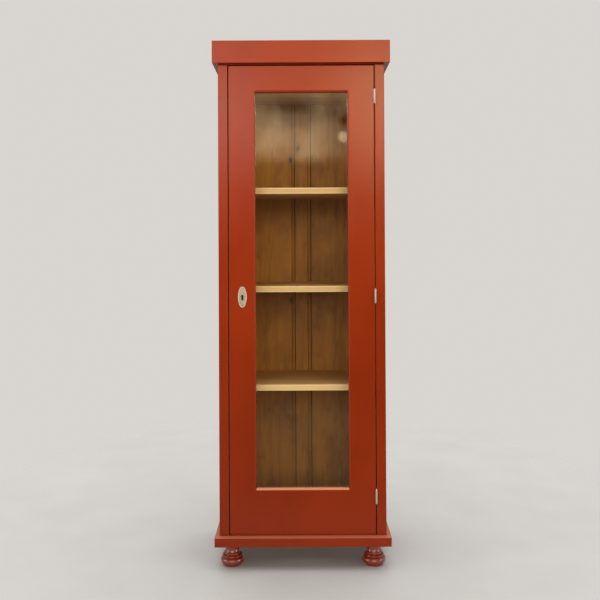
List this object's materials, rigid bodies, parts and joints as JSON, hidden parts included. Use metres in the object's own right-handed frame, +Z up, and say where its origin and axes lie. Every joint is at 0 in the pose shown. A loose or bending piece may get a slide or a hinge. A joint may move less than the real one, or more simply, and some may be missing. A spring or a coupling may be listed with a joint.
{
  "type": "display cabinet",
  "caption": "Tall narrow display cabinet with a framed glass door, shelves, a plain cornice and turned bun feet, painted red outside and bare pine inside.",
  "frame": {"origin": "on the floor under the middle of the cabinet's overall box", "axes": "+Z up, +X to the viewer's right when facing the door, the door faces -Y"},
  "size_m": [0.605, 0.387, 1.8],
  "materials": {
    "red_paint": "satin oil paint",
    "old_pine": "aged bare pine",
    "shelf_pine": "waxed pine",
    "glass": "clear sheet",
    "hinge_steel": "bright",
    "keyhole_nickel": "worn plating",
    "lock_steel": "dull",
    "fixing_iron": "dull"
  },
  "bodies": {
    "case": {"back_board_left": "old_pine", "back_board_middle": "old_pine", "back_board_right": "old_pine", "back_nails": "fixing_iron", "ceiling_board": "old_pine", "cornice_front": "red_paint", "cornice_left": "red_paint", "cornice_right": "red_paint", "cornice_top": "red_paint", "door_stop_strip": "old_pine", "floor_board": "old_pine", "foot_front_left": "red_paint", "foot_front_right": "red_paint", "foot_rear_left": "red_paint", "foot_rear_right": "red_paint", "head_rail": "red_paint", "hinge_frame_leaf_bottom": "hinge_steel", "hinge_frame_leaf_middle": "hinge_steel", "hinge_frame_leaf_top": "hinge_steel", "hinge_pin_bottom": "hinge_steel", "hinge_pin_middle": "hinge_steel", "hinge_pin_top": "hinge_steel", "hinge_screws_frame": "fixing_iron", "left_front_post": "red_paint", "left_shelf_cleats": "old_pine", "left_side_panel": "red_paint", "plinth_back": "red_paint", "plinth_front": "red_paint", "plinth_left": "red_paint", "plinth_right": "red_paint", "right_front_post": "red_paint", "right_shelf_cleats": "old_pine", "right_side_panel": "red_paint", "shelf_lower": "shelf_pine", "shelf_middle": "shelf_pine", "shelf_upper": "shelf_pine", "strike_plate": "lock_steel", "strike_screws": "lock_steel"},
    "door": {"door_bottom_rail": "red_paint", "door_glass": "glass", "door_hinge_stile": "red_paint", "door_lock_stile": "red_paint", "door_top_rail": "red_paint", "glazing_strip_bottom": "red_paint", "glazing_strip_left": "red_paint", "glazing_strip_right": "red_paint", "glazing_strip_top": "red_paint", "hinge_door_leaf_bottom": "hinge_steel", "hinge_door_leaf_middle": "hinge_steel", "hinge_door_leaf_top": "hinge_steel", "hinge_screws_door": "fixing_iron", "keyhole_plate": "keyhole_nickel", "keyhole_plate_pins": "keyhole_nickel", "lock_cap": "lock_steel", "lock_plate": "lock_steel", "lock_screws": "lock_steel"},
    "bolt": {"lock_bolt": "lock_steel", "lock_spring": "lock_steel"}
  },
  "joints": [
    {"name": "door_swing", "type": "hinge", "parent": "case", "child": "door", "pos_m": [0.2505, -0.1752, 0.93], "axis": [0, 0, 1], "range_deg": [0, 170]},
    {"name": "bolt_throw", "type": "slide", "parent": "door", "child": "bolt", "axis": [-1, 0, 0], "range_m": [0, 0.01]}
  ]
}
